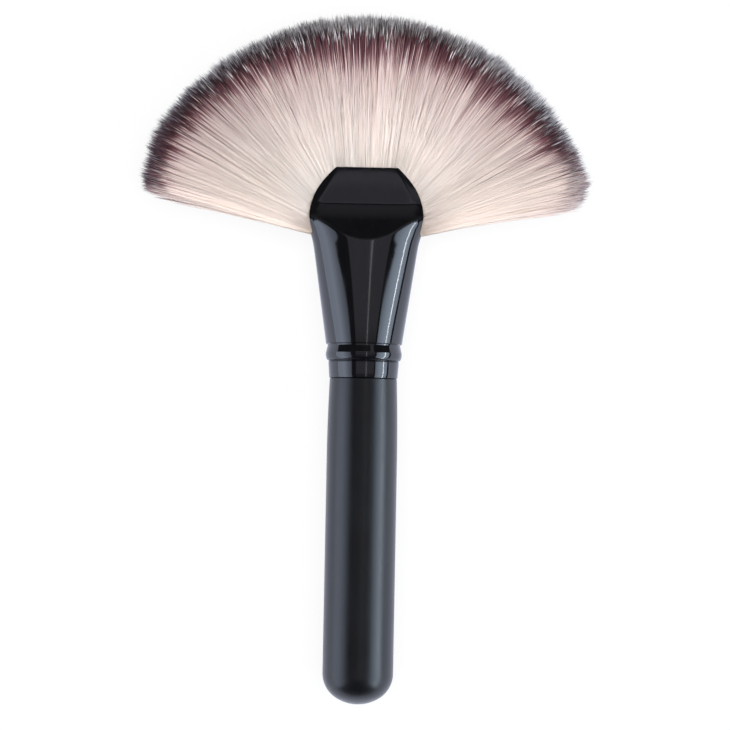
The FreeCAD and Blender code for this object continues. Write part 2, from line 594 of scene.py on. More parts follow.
def closed(row: np.ndarray) -> np.ndarray:
    """A row of numbers with its first one added at its end."""
    return np.append(row, row[0])


def arc(
    centre: tuple[float, float], radius: float, start: float, end: float, steps: int
) -> list[tuple[float, float]]:
    """Points of a circular arc in the (station, radius) plane.

    Args:
        centre: Station and radius of its centre.
        radius: Its radius.
        start: Its first angle, from the station axis, in radians.
        end: Its last angle.
        steps: How many parts it has.

    Returns:
        The (station, radius) points.
    """
    angles = np.linspace(start, end, steps + 1)
    along = centre[0] + radius * np.cos(angles)
    out = centre[1] + radius * np.sin(angles)
    return list(zip(along.tolist(), out.tolist()))


def dress(
    piece: bpy.types.Object, finish: bpy.types.Material, slot: str, *nodes: str
) -> bpy.types.Object:
    """Gives a piece its finish and its place in the frame.

    Args:
        piece: The piece.
        finish: Its material.
        slot: Not used.
        nodes: The nodes that it stands for.

    Returns:
        The piece.
    """
    piece.data.materials.append(finish)
    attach(piece, BODY)
    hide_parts(*nodes)
    log.info("%s: %d faces", piece.name, len(piece.data.polygons))
    return piece


@dataclass
class Handle:
    """The turned handle: domed end, straight grip, slight neck and hidden tenon."""

    axis: Axis
    length: float = 80.1
    radius: float = 8.7
    neck_radius: float = 8.3
    neck_run: float = 20.0
    crown_margin: float = 1.3
    edge_inset: float = 1.6
    shoulder_round: float = 0.25
    tenon_radius: float = 8.02
    tenon_end: float = 92.1
    tenon_chamfer: float = 0.8
    crown_rows: int = 10
    edge_rows: int = 22
    grip_rows: int = 14
    neck_rows: int = 13
    sides: int = 144
    sharp_from: float = 35.0

    def profile(self) -> list[tuple[float, float]]:
        """Outline from the domed end to the end of the tenon.

        Returns:
            The (station, radius) points.
        """
        crown = self.radius + self.crown_margin
        edge = self.radius - self.edge_inset
        reach = self.crown_margin + self.edge_inset
        edge_along = crown - math.sqrt(reach**2 - self.edge_inset**2)
        lean = math.atan2(self.edge_inset, crown - edge_along)
        turn = math.pi - lean
        points = arc((crown, 0.0), crown, math.pi, turn, self.crown_rows)
        inset = (edge_along, self.edge_inset)
        points += arc(inset, edge, turn, math.pi / 2, self.edge_rows)[1:]
        grip_end = self.length - self.neck_run
        draw_in = self.radius - self.neck_radius
        grip = np.linspace(edge_along, grip_end, self.grip_rows)[1:]
        points += [(station, self.radius) for station in grip]
        for share in np.linspace(0, 1, self.neck_rows)[1:]:
            run = self.neck_run - self.shoulder_round
            points.append((grip_end + share * run, self.radius - draw_in * share**2))
        points += [
            (self.length, self.neck_radius - self.shoulder_round),
            (self.length, self.tenon_radius),
            (self.tenon_end - self.tenon_chamfer, self.tenon_radius),
            (self.tenon_end, self.tenon_radius - self.tenon_chamfer),
            (self.tenon_end, 0.0),
        ]
        return points

    def build(self) -> bpy.types.Object:
        """Turns the profile into the handle's mesh and dresses it.

        Returns:
            The piece.
        """
        skin = Skin()
        turn = np.arange(self.sides) * 2 * math.pi / self.sides
        last = None
        for station, radius in self.profile():
            if radius < 1e-6:
                pole = skin.row(self.axis.points(np.zeros(1), station, 0.0))
                numbers = np.repeat(pole, self.sides)
            else:
                ring = self.axis.points(radius * np.sin(turn), station, radius * np.cos(turn))
                numbers = skin.row(ring)
            if last is not None:
                skin.band(closed(numbers), closed(last))
            last = numbers
        piece = skin.object("handle_turned", self.sharp_from)
        return dress(piece, SatinLacquer().material(), "handle_lacquer", "handle")


@dataclass
class Ferrule:
    """The metal tube: turned at the handle, drawn to an oval, pressed flat at its mouth.

    Its sides are open above the slit, so the hair leaves it all round the lip.
    """

    axis: Axis
    wall: float = 0.35
    skirt_start: float = 80.1
    skirt_end: float = 83.95
    skirt_rim_radius: float = 8.43
    skirt_top_radius: float = 8.73
    crimp_depth: float = 0.16
    bead_start: float = 84.5
    bead_foot_radius: float = 8.86
    bead_crest: float = 86.25
    bead_radius: float = 9.42
    bead_end: float = 88.1
    bead_end_radius: float = 8.98
    neck: float = 88.55
    neck_radius: float = 9.4
    shoulder: float = 111.0
    shoulder_half_width: float = 12.69
    shoulder_half_thickness: float = 7.89
    thickness_bow: float = 1.3
    slit: float = 114.8
    slit_ease: float = 1.4
    lip_centre: float = 120.0
    lip_stations: tuple = (
        *(114.0, 116.2, 117.7, 119.1, 120.3, 121.7, 123.2, 124.7),
        *(126.2, 127.6, 129.1, 130.6, 132.1),
    )
    lip_half_widths: tuple = (
        *(13.25, 13.35, 13.68, 13.95, 14.02, 13.88, 13.55, 13.08),
        *(12.42, 11.56, 10.46, 9.15, 7.68),
    )
    press_start: float = 114.0
    crease: float = 123.2
    mouth: float = 132.1
    flare_stations: tuple = (112.3, 113.4, 114.3, 115.2, 116.9, 118.5, 119.9, 122.9, 132.1)
    flare_half_widths: tuple = (12.89, 13.09, 13.3, 13.57, 14.28, 16.1, 19.4, 24.0, 26.0)
    flare_half_thicknesses: tuple = (7.78, 7.68, 7.61, 7.55, 7.45, 7.36, 7.3, 7.2, 7.2)
    pressed_crease: float = 3.75
    pressed_mouth: float = 2.7
    pressed_sag: float = 0.45
    pressed_lift: float = 0.12
    press_blend: float = 0.2
    facet_crease: float = 11.46
    facet_mouth: float = 7.6
    facet_fall: float = 0.22
    facet_blend: float = 0.5
    facet_run: float = 3.0
    rim_round: float = 0.12
    sides: int = 256
    rim_steps: int = 4
    crimp_rows: int = 17
    crimp_power: float = 0.7
    bead_rows: int = 14
    bead_end_rows: int = 12
    cone_rows: int = 36
    inner_cone_rows: int = 8
    shoulder_rows: int = 14
    slit_rows: int = 9
    lower_rows: int = 22
    upper_rows: int = 30
    sharp_from: float = 32.0

    def half_width(self, station: float) -> float:
        """Half width of the oval.

        Args:
            station: Where along the axis.

        Returns:
            The half width.
        """
        if station <= self.shoulder:
            share = (station - self.neck) / (self.shoulder - self.neck)
            return self.neck_radius + (self.shoulder_half_width - self.neck_radius) * share
        stations = (self.shoulder, *self.flare_stations)
        widths = (self.shoulder_half_width, *self.flare_half_widths)
        return float(through(station, stations, widths))

    def half_thickness(self, station: float) -> float:
        """Half thickness of the oval.

        Args:
            station: Where along the axis.

        Returns:
            The half thickness.
        """
        if station <= self.shoulder:
            share = max(0.0, (station - self.neck) / (self.shoulder - self.neck))
            drop = self.neck_radius - self.shoulder_half_thickness
            return self.neck_radius - drop * share**self.thickness_bow
        stations = (self.shoulder, *self.flare_stations)
        heights = (self.shoulder_half_thickness, *self.flare_half_thicknesses)
        return float(through(station, stations, heights))

    def pressed(self, station: float) -> float:
        """Half thickness that the press leaves.

        Args:
            station: Where along the axis.

        Returns:
            The half thickness.
        """
        start = self.half_thickness(self.press_start)
        if station <= self.press_start:
            return start + (self.press_start - station)
        if station <= self.crease:
            share = (station - self.press_start) / (self.crease - self.press_start)
            straight = start + (self.pressed_crease - start) * share
            return straight - self.pressed_sag * 4 * share * (1 - share)
        share = (station - self.crease) / (self.mouth - self.crease)
        straight = self.pressed_crease + (self.pressed_mouth - self.pressed_crease) * share
        return straight + self.pressed_lift * 4 * share * (1 - share)

    def lip_half_width(self, station: float) -> float:
        """Half width of the mouth's outline at a station."""
        return float(through(station, self.lip_stations, self.lip_half_widths))

    def open_angle(self, station: float) -> float:
        """How far round the front wall reaches from its middle.

        Args:
            station: Where along the axis.

        Returns:
            The angle in radians.
        """
        share = min(1.0, self.lip_half_width(station) / self.half_width(station))
        eased = min(1.0, max(0.0, (station - self.slit) / self.slit_ease))
        eased = eased * eased * (3 - 2 * eased)
        return math.pi / 2 - (math.pi / 2 - math.asin(share)) * eased

    def rise(self, round_angle: np.ndarray, station: float, inset: float) -> np.ndarray:
        """Heights of the front wall above the axis.

        Args:
            round_angle: Angles round the oval from its middle, in radians.
            station: The station.
            inset: How far inside the outer face.

        Returns:
            The heights.
        """
        oval = (self.half_thickness(station) - inset) * np.cos(round_angle)
        x = np.abs(self.half_width(station) * np.sin(round_angle))
        stations = (self.crease - self.facet_run, self.crease, self.mouth)
        edge = np.interp(station, stations[1:], (self.facet_crease, self.facet_mouth))
        fall = np.interp(station, stations, (0.0, self.facet_fall, self.facet_fall))
        beyond = x - edge
        soft = np.sqrt(beyond**2 + self.facet_blend**2) * 0.5 + beyond * 0.5
        flat = self.pressed(station) - inset - fall * soft
        overlap = np.maximum(self.press_blend - np.abs(oval - flat), 0.0)
        return np.minimum(oval, flat) - overlap**2 / (4 * self.press_blend)

    def section(self, station: float, inset: float, opening: float) -> tuple:
        """Front and back rows of one section.

        Args:
            station: The station.
            inset: How far inside the outer face.
            opening: How far round each wall reaches, in radians.

        Returns:
            The front row from left to right and the back row from right to left.
        """
        share = np.linspace(-1, 1, self.sides // 2 + 1)
        angle = share * opening
        x = (self.half_width(station) - inset) * np.sin(angle)
        rise = self.rise(angle, station, inset)
        front = self.axis.points(x, station, rise)
        back = self.axis.points(x[::-1], station, -rise[::-1])
        return front, back

    def round_profile(self) -> list[tuple[float, float]]:
        """Outline of the round part: skirt, crimped line and rolled ring.

        Returns:
            The (station, radius) points.
        """
        fine = self.rim_round
        rim, top = self.skirt_rim_radius, self.skirt_top_radius
        points = [
            (self.skirt_start, rim - self.wall),
            (self.skirt_start, rim - fine),
            (self.skirt_start + 0.3 * fine, rim - 0.3 * fine),
            (self.skirt_start + fine, rim),
        ]
        for share in (0.25, 0.5, 0.75, 0.96):
            along = self.skirt_start + share * (self.skirt_end - self.skirt_start)
            points.append((along, rim + share * (top - rim)))
        width = self.bead_start - self.skirt_end
        for share in np.linspace(0, 1, self.crimp_rows):
            dip = self.crimp_depth * abs(math.sin(2 * math.pi * share)) ** self.crimp_power
            level = top + (self.bead_foot_radius - top) * share
            points.append((self.skirt_end + share * width, level - dip))
        rise = self.bead_radius - self.bead_foot_radius
        for turn in np.linspace(0, math.pi / 2, self.bead_rows)[1:]:
            along = self.bead_crest - (self.bead_crest - self.bead_start) * math.cos(turn)
            points.append((along, self.bead_foot_radius + rise * math.sin(turn)))
        run = self.bead_end - self.bead_crest
        fall = self.bead_radius - self.bead_end_radius
        for share in np.linspace(0, 1, self.bead_end_rows)[1:]:
            points.append((self.bead_crest + share * run, self.bead_radius - fall * share))
        points.append(((self.bead_end + self.neck) / 2, self.bead_end_radius + 0.02))
        return points

    def ring(self, skin: Skin, station: float, radius: float) -> np.ndarray:
        """Adds a circular row, which starts at the left side, and returns its numbers."""
        turn = np.arange(self.sides) * 2 * math.pi / self.sides - math.pi / 2
        return skin.row(self.axis.points(radius * np.sin(turn), station, radius * np.cos(turn)))

    def closed_section(self, skin: Skin, station: float, inset: float) -> np.ndarray:
        """Adds a whole oval row, which starts at the left side, and returns its numbers."""
        front, back = self.section(station, inset, math.pi / 2)
        return skin.row(np.concatenate([front, back[1:-1]]))

    def tube(self, skin: Skin, inset: float, rows: list[np.ndarray]) -> np.ndarray:
        """Adds the closed tube from given rings up to the slit.

        Args:
            skin: Where it goes.
            inset: How far inside the outer face.
            rows: The rings below the neck, in order.

        Returns:
            The numbers of the row at the slit.
        """
        cone_rows = self.cone_rows if inset == 0 else self.inner_cone_rows
        stations = list(np.linspace(self.neck, self.shoulder, cone_rows))
        stations += list(np.linspace(self.shoulder, self.slit, self.shoulder_rows)[1:])
        rows = rows + [self.closed_section(skin, station, inset) for station in stations]
        for near, far in zip(rows, rows[1:]):
            self.join(skin, closed(near), closed(far), inset)
        return rows[-1]

    @staticmethod
    def join(skin: Skin, near: np.ndarray, far: np.ndarray, inset: float) -> None:
        """Fills a band so that it faces out on the outer face and in on the inner one.

        Args:
            skin: Where it goes.
            near: The numbers of one row.
            far: The numbers of the next row.
            inset: How far inside the outer face.
        """
        if inset == 0:
            skin.band(near, far)
        else:
            skin.band(far, near)

    def head_stations(self) -> list[float]:
        """Rows of the open part, close together at the slit and at the mouth.

        Returns:
            Their stations.
        """
        eased = self.slit + self.slit_ease
        low = list(np.linspace(self.slit, eased, self.slit_rows)[1:])
        middle = list(np.linspace(eased, self.crease, self.lower_rows)[1:])
        high = list(np.linspace(self.crease, self.mouth, self.upper_rows)[1:])
        return low + middle + high

    def head(self, skin: Skin, inset: float, foot: np.ndarray) -> list[np.ndarray]:
        """Adds the two open walls above the slit.

        Args:
            skin: Where they go.
            inset: How far inside the outer face.
            foot: The numbers of the row at the slit.

        Returns:
            For each wall, the numbers round its free edge: up its first side,
            across the mouth and down its second side.
        """
        half = self.sides // 2
        edges = []
        for wall in (0, 1):
            row = closed(foot)[half * wall : half * wall + half + 1]
            first, second = [row[0]], [row[-1]]
            for station in self.head_stations():
                points = self.section(station, inset, self.open_angle(station))[wall]
                above = skin.row(points)
                self.join(skin, row, above, inset)
                row = above
                first.append(row[0])
                second.append(row[-1])
            edges.append(np.array(first[:-1] + list(row) + second[:-1][::-1]))
        return edges

    def rim(self, skin: Skin, outer: np.ndarray, inner: np.ndarray) -> None:
        """Rounds the free edge between the outer and the inner face.

        Args:
            skin: The skin with both faces.
            outer: The numbers along the outer edge.
            inner: The numbers along the inner edge.
        """
        points = np.concatenate(skin.rows)
        centre = self.axis.points(0.0, self.lip_centre, 0.0)
        away = points[outer] - centre
        away[:, 2] = 0.0
        flat_top = np.isclose(points[outer][:, 1], points[outer][:, 1].max())
        away[flat_top] = (0.0, 1.0, 0.0)
        away /= np.linalg.norm(away, axis=1)[:, None]
        last = outer
        for step in range(1, self.rim_steps):
            share = step / self.rim_steps
            between = points[outer] * (1 - share) + points[inner] * share
            out = self.rim_round * MM * math.sin(math.pi * share)
            row = skin.row(between + away * out)
            skin.band(last, row)
            last = row
        skin.band(last, inner)

    def build(self) -> bpy.types.Object:
        """Builds the ferrule's mesh and dresses it.

        Returns:
            The piece.
        """
        skin = Skin()
        outer_rings = [self.ring(skin, s, r) for s, r in self.round_profile()]
        outer = self.tube(skin, 0.0, outer_rings)
        inner_rings = [outer_rings[0]]
        inner_radius = self.skirt_top_radius - self.wall
        inner_rings.append(self.ring(skin, self.bead_start, inner_radius))
        inner = self.tube(skin, self.wall, inner_rings)
        outer_edges = self.head(skin, 0.0, outer)
        inner_edges = self.head(skin, self.wall, inner)
        for along_outer, along_inner in zip(outer_edges, inner_edges):
            self.rim(skin, along_outer, along_inner)
        piece = skin.object("ferrule_pressed", self.sharp_from)
        return dress(piece, GlossBlack().material(), "ferrule_black", "ferrule")


class Sector(Enum):
    """The parts of the fan from left to right, each a piece of its own."""

    LEFT_EDGE = "bristles_left_edge"
    LEFT = "bristles_left"
    MIDDLE = "bristles_middle"
    RIGHT = "bristles_right"
    RIGHT_EDGE = "bristles_right_edge"


@dataclass
class BristleFan:
    """The fanned hair: tapered strands that leave the lip and spread to a half round.

    Angles are in degrees from the brush's axis, below 0 on the left. Radii are
    counted from the fan's centre, and so are reaches, where 1 is the fan's edge.
    Waves are (height, spacing, seed) of what wanders along the fan.
    """

    axis: Axis
    ferrule: Ferrule
    strands: int = 37000
    seed: int = 41
    sectors: list = field(default_factory=lambda: list(Sector))
    # Outline
    centre: float = 112.0
    half_angle: float = 77.0
    edge_angles: tuple = (-79, -76, -73, -65, -57, -48, -38, -28, 0, 28, 57, 69, 73, 77, 79)
    edge_radii: tuple = (
        *(57.2, 57.5, 58.6, 60.1, 60.7, 59.9, 59.7, 58.9),
        *(58.6, 58.5, 58.3, 58.3, 58.0, 55.7, 54.1),
    )
    edge_waves: tuple = ((0.22, 3.1, 5), (0.07, 0.6, 6))
    lift_angles: tuple = (-79, -62)
    lifts: tuple = (1.7, 0.0)
    # How the strands leave the lip
    straight_half_angle: float = 14.3
    straight_lean: float = 10.0
    lean_margin: float = 1.5
    lean_power: float = 0.8
    last_root: float = 115.6
    root_depth: float = 2.5
    root_clearance: float = 0.08
    least_gap: float = 0.25
    aim_ahead: float = 3.0
    # Thickness of the fan
    swell_radius: float = 50.0
    swell_half_thickness: float = 6.6
    swell_power: float = 0.9
    most_swell: float = 1.1
    crown_drop: float = 4.2
    crown_power: float = 2.6
    # Strands
    ring_shares: tuple = (0.0, 0.35, 0.68, 0.92, 1.0)
    width_shares: tuple = (0.0, 0.4, 0.7, 0.92)
    widths: tuple = (0.05, 0.095, 0.095, 0.115)
    width_range: tuple = (0.8, 1.2)
    cell_aspect: float = 20.0
    root_scatter: float = 0.7
    tip_scatter: float = 0.9
    scatter_turn: float = 1.05
    outward: float = 0.62
    layer_scatter: float = 0.12
    most_short: float = 6.0
    strays: float = 0.03
    stray_lengths: tuple = (2.0, 9.0)
    tip_allowance: float = 0.3
    # Locks
    clumps: int = 620
    locks_each: int = 3
    clump_pull: float = 0.08
    pulls: tuple = (0.3, 1.6)
    lock_shift: float = 2.0
    lock_length: float = 0.3
    ragged_angles: tuple = (50, 75)
    raggedness: tuple = (1.0, 1.8)
    # Dye
    dye_angles: tuple = (-79, -75, -70, -60, -45, -30, -15, 0, 15, 30, 45, 60, 70, 75, 79)
    dye_starts: tuple = (
        *(1.0, 0.935, 0.925, 0.889, 0.858, 0.845, 0.813, 0.801),
        *(0.84, 0.83, 0.835, 0.87, 1.01, 1.01, 1.04),
    )
    dye_scatter: float = 0.025
    dye_waves: tuple = ((0.01, 1.3, 7), (0.01, 0.5, 8))
    early_share: float = 0.16
    early_by: float = 0.2
    early_power: float = 1.3
    early_softness: float = 0.1
    late_share: float = 0.12
    late_by: tuple = (0.02, 0.14)
    softness: tuple = (0.05, 0.1)
    drop_share: float = 0.45
    # Tips
    tip_angles: tuple = (-79, -70, -60, -45, -30, -15, 0, 15, 30, 45, 60, 72, 79)
    tip_starts: tuple = (
        *(1.0, 0.975, 0.965, 0.933, 0.926, 0.911, 0.89),
        *(0.927, 0.909, 0.915, 0.94, 0.975, 0.99),
    )
    tip_wave: tuple = (0.008, 1.0, 9)
    pale_angles: tuple = (-79, -45, -30, 0, 40, 79)
    pale_shares: tuple = (0.66, 0.78, 0.8, 0.85, 0.9, 0.86)
    pale_wave: tuple = (0.08, 3.0, 10)
    # Painted light: how much more often the tips of the middle layers, which lie in shade, are
    # pale.
    painted_light_inside: float = 0.3
    pale_later: float = 0.035
    dark_earlier: float = -0.01
    shared_tips: float = 0.75
    light_tips: tuple = (0.92, 1.0)
    dark_tips: tuple = (0.0, 0.25)
    # Lightness: each strand's own tone, and painted light and shade by part of the fan
    painted_light_angles: tuple = (-79, -76, -72, -60, -45, -30, -15, 0, 15, 30, 45, 60, 72, 76, 79)
    painted_light_levels: tuple = (
        *(1.15, 0.94, 0.83, 0.82, 0.8, 0.93, 0.92, 1.05),
        *(0.94, 0.95, 0.9, 0.85, 0.9, 0.96, 1.15),
    )
    flank_angles: tuple = (48, 72)
    tint_wave: tuple = (0.06, 0.45, 11)
    tint_shape: tuple = (4, 2.5)
    tint_spread: float = 0.8
    tint_least: float = 0.1
    tint_middle: float = 0.62
    calm_angles: tuple = (35, 65)
    calm_tints: tuple = (1.0, 0.5)

    def __post_init__(self) -> None:
        """Starts the random numbers."""
        self.random = np.random.default_rng(self.seed)

    @staticmethod
    def wander(angle: np.ndarray, wave: tuple[float, float, int]) -> np.ndarray:
        """Smooth random numbers along the fan.

        Args:
            angle: Angles in degrees.
            wave: Height, degrees between two independent values, and seed.

        Returns:
            The numbers.
        """
        height, spacing, seed = wave
        knots = np.arange(-90.0, 90.0 + spacing, spacing)
        heights = np.random.default_rng(seed).normal(size=len(knots))
        return height * np.interp(angle, knots, heights)

    def lip_point(self, angle: np.ndarray) -> tuple:
        """Where strands leave the lip, and which way.

        Args:
            angle: The strands' angles in the fan, in degrees.

        Returns:
            X, station, direction from the axis in radians, and half the gap between
            the two walls there.
        """
        lip = self.ferrule
        along = np.concatenate([[lip.mouth], np.linspace(lip.mouth, self.last_root, 60)])
        across = np.array([0.0] + [lip.lip_half_width(station) for station in along[1:]])
        gaps = [self.lip_gap(x, station) for x, station in zip(across, along)]
        walked = np.concatenate([[0.0], np.cumsum(np.hypot(np.diff(across), np.diff(along)))])
        size = np.abs(angle)
        spacing = [0.0, self.straight_half_angle, self.half_angle]
        place = np.interp(size, spacing, [0.0, walked[1], walked[-1]])
        straight = np.clip(size / self.straight_half_angle, 0.0, 1.0)
        turning = self.half_angle - self.straight_half_angle
        beyond = np.clip((size - self.straight_half_angle) / turning, 0.0, 1.0)
        lean = self.straight_lean * straight
        most = self.half_angle - self.lean_margin - self.straight_lean
        lean = lean + beyond**self.lean_power * most
        x, station = np.interp(place, walked, across), np.interp(place, walked, along)
        side = np.sign(angle)
        return side * x, station, side * np.radians(lean), np.interp(place, walked, gaps)

    def lip_gap(self, x: float, station: float) -> float:
        """Half the gap between the two walls at a place on the lip.

        Args:
            x: Distance from the axis.
            station: Where along the axis.

        Returns:
            Half the gap.
        """
        lip = self.ferrule
        share = min(1.0, x / (lip.half_width(station) - lip.wall))
        gap = float(lip.rise(np.array([math.asin(share)]), station, lip.wall)[0])
        return max(gap - self.root_clearance, self.least_gap)

    def outline(self, angle: np.ndarray) -> np.ndarray:
        """Radius of the fan's edge at angles in degrees."""
        uneven = sum(self.wander(angle, wave) for wave in self.edge_waves)
        return np.interp(angle, self.edge_angles, self.edge_radii) + uneven

    def locks(self, angle: np.ndarray) -> tuple[np.ndarray, np.ndarray, np.ndarray]:
        """Gathers the strands into locks.

        Args:
            angle: The strands' angles.

        Returns:
            The number of each strand's lock, the angle that the lock leans to, and
            how much longer than its neighbours it is.
        """
        pitch = 2 * self.half_angle / self.clumps
        clump = np.floor((angle + self.half_angle) / pitch).clip(0, self.clumps).astype(int)
        lock = clump * self.locks_each + self.random.integers(0, self.locks_each, self.strands)
        number = (self.clumps + 2) * self.locks_each
        shift = self.random.uniform(-0.5, 0.5, number) * pitch * self.lock_shift
        longer = self.random.normal(0, self.lock_length, number)
        leans_to = (clump + 0.5) * pitch - self.half_angle + shift[lock]
        return lock, leans_to, longer[lock]

    def strand_facts(self) -> dict[str, np.ndarray]:
        """Draws the strands, from left to right.

        Returns:
            Angle, layer, lock, drop and tip of every strand.
        """
        random, count = self.random, self.strands
        angle = random.uniform(-self.half_angle, self.half_angle, count)
        angle = np.sort(angle + random.normal(0, self.root_scatter, count))
        side = random.choice([-1.0, 1.0], count)
        layer = side * random.uniform(0, 1, count) ** self.outward
        lock, leans_to, longer = self.locks(angle)
        pull = self.clump_pull * random.uniform(*self.pulls, count)
        scatter = self.tip_scatter * np.cos(np.radians(angle * self.scatter_turn))
        tip_angle = angle + (leans_to - angle) * pull + random.normal(0, 1, count) * scatter
        tip_angle = tip_angle + np.interp(angle, self.lift_angles, self.lifts)
        short = np.minimum(random.exponential(1.0, count), self.most_short)
        stray = random.uniform(0, 1, count) < self.strays
        short = np.where(stray, random.uniform(*self.stray_lengths, count), short)
        drop = self.crown_drop * np.abs(layer) ** self.crown_power
        ragged = np.interp(np.abs(angle), self.ragged_angles, self.raggedness)
        tip_radius = self.outline(tip_angle) - drop - short + self.tip_allowance
        tip_layer = layer + random.normal(0, self.layer_scatter, count)
        return {
            "angle": angle,
            "tip_angle": tip_angle,
            "layer": layer,
            "tip_layer": np.clip(tip_layer, -1, 1),
            "lock": lock,
            "drop": drop,
            "tip_radius": tip_radius + longer * ragged,
        }

    def paths(self, facts: dict[str, np.ndarray]) -> tuple:
        """Centre lines of the strands: each leaves the lip and bends to its tip.

        Args:
            facts: What strand_facts gives.

        Returns:
            X, station and rise, each of strands by rings.
        """
        x0, s0, lean, gap = self.lip_point(facts["angle"])
        tip = np.radians(facts["tip_angle"])
        x3 = facts["tip_radius"] * np.sin(tip)
        s3 = self.centre + facts["tip_radius"] * np.cos(tip)
        length = np.hypot(x3 - x0, s3 - s0)
        x1, s1 = x0 + np.sin(lean) * length / 3, s0 + np.cos(lean) * length / 3
        reach = np.arctan2(x3, s3 - self.centre - self.aim_ahead)
        x2, s2 = x3 - np.sin(reach) * length / 3, s3 - np.cos(reach) * length / 3
        start = self.root_depth / length
        t = np.array(self.ring_shares)[None, :] * (1 + start[:, None]) - start[:, None]
        inside = t < 0
        held = np.maximum(t, 0.0)
        shares = ((1 - held) ** 3, 3 * held * (1 - held) ** 2, 3 * held**2 * (1 - held), held**3)
        x = sum(share * ends[:, None] for share, ends in zip(shares, (x0, x1, x2, x3)))
        s = sum(share * ends[:, None] for share, ends in zip(shares, (s0, s1, s2, s3)))
        x = np.where(inside, x0[:, None] + np.sin(lean)[:, None] * t * length[:, None], x)
        s = np.where(inside, s0[:, None] + np.cos(lean)[:, None] * t * length[:, None], s)
        radius = np.hypot(x, s - self.centre)
        lip_radius = np.hypot(x0, s0 - self.centre)
        swell = (radius - lip_radius[:, None]) / (self.swell_radius - lip_radius[:, None])
        swell = np.clip(swell, 0.0, self.most_swell) ** self.swell_power
        thick = gap[:, None] + (self.swell_half_thickness - gap[:, None]) * swell
        turn = np.clip(held, 0.0, 1.0)
        layer = facts["layer"][:, None] * (1 - turn) + facts["tip_layer"][:, None] * turn
        return x, s, layer * thick

    def dye_run(self, angle: np.ndarray) -> tuple[np.ndarray, np.ndarray]:
        """Where the dye sets in and how long it takes: early on some strands, late on others.

        Args:
            angle: The strands' angles.

        Returns:
            The two reaches of every strand.
        """
        random, count = self.random, self.strands
        starts = np.interp(angle, self.dye_angles, self.dye_starts)
        starts = starts + random.normal(0, self.dye_scatter, count)
        for wave in self.dye_waves:
            starts = starts + self.wander(angle, wave)
        early = random.uniform(0, 1, count) < self.early_share
        late = random.uniform(0, 1, count) < self.late_share
        starts = starts - early * random.uniform(0, self.early_by, count) ** self.early_power
        starts = starts + late * random.uniform(*self.late_by, count)
        soft = random.uniform(*self.softness, count) + early * self.early_softness
        return starts, soft

    def tip_run(self, facts: dict[str, np.ndarray]) -> tuple[np.ndarray, np.ndarray]:
        """Where the tip colour takes over and how light it is.

        Args:
            facts: What strand_facts gives.

        Returns:
            The reach and the lightness of every strand.
        """
        random, count, angle = self.random, self.strands, facts["angle"]
        ends_at = np.interp(angle, self.tip_angles, self.tip_starts)
        ends_at = ends_at + random.normal(0, self.dye_scatter, count)
        ends_at = ends_at + self.wander(angle, self.tip_wave)
        pale = np.interp(angle, self.pale_angles, self.pale_shares)
        pale = pale + self.wander(angle, self.pale_wave)
        # Painted light: tips of the middle layers, which lie in shade, are more often pale, and
        # those of the outer layers less often.
        pale = pale + self.painted_light_inside * (0.5 - np.abs(facts["layer"]))
        lock = facts["lock"]
        shared = random.uniform(0, 1, lock.max() + 1)[lock]
        sharing = random.uniform(0, 1, count) < self.shared_tips
        draw = np.where(sharing, shared, random.uniform(0, 1, count))
        light = random.uniform(*self.light_tips, count)
        dark = random.uniform(*self.dark_tips, count)
        ends_at = ends_at + np.where(draw < pale, self.pale_later, self.dark_earlier)
        return ends_at, np.where(draw < pale, light, dark)

    def colours(self, facts: dict[str, np.ndarray], radius: np.ndarray) -> dict[str, np.ndarray]:
        """Colour numbers of every ring.

        Args:
            facts: What strand_facts gives.
            radius: Distance of each ring from the fan's centre.

        Returns:
            The attributes that DyedHair reads, each of strands by rings.
        """
        angle = facts["angle"]
        size = np.abs(angle)
        edge = self.outline(angle) - self.drop_share * facts["drop"]
        starts, soft = self.dye_run(angle)
        ends_at, tip = self.tip_run(facts)
        tint = self.random.beta(*self.tint_shape, self.strands)
        tint = tint * self.tint_spread + self.tint_least
        tint = tint + self.wander(angle, self.tint_wave)
        calm = np.interp(size, self.calm_angles, self.calm_tints)
        tint = self.tint_middle + (tint - self.tint_middle) * calm
        of_strand = {
            "starts": starts,
            "soft": soft,
            "ends_at": ends_at,
            "tip": tip,
            "tint": np.clip(tint, 0, 1),
            "flank": np.interp(size, self.flank_angles, [0.0, 1.0]),
            # light: painted light and shade by part of the fan, lighter at the middle and the
            # outermost edges.
            "light": np.interp(angle, self.painted_light_angles, self.painted_light_levels),
        }
        ones = np.ones_like(radius)
        carried = {name: number[:, None] * ones for name, number in of_strand.items()}
        return {"reach": radius / edge[:, None], **carried}

    def build(self) -> list[bpy.types.Object]:
        """Builds and dresses the hair, one piece for each sector.

        Returns:
            The pieces.
        """
        facts = self.strand_facts()
        x, s, rise = self.paths(facts)
        colours = self.colours(facts, np.hypot(x, s - self.centre))
        points = self.axis.points(x, s, rise)
        finish = DyedHair().material()
        pieces = []
        bounds = np.linspace(0, self.strands, len(self.sectors) + 1).astype(int)
        for sector, low, high in zip(self.sectors, bounds, bounds[1:]):
            part = slice(low, high)
            chosen = {name: numbers[part] for name, numbers in colours.items()}
            piece = self.sector_piece(sector, points[part], chosen)
            pieces.append(dress(piece, finish, "fibre", "bristles"))
        return pieces

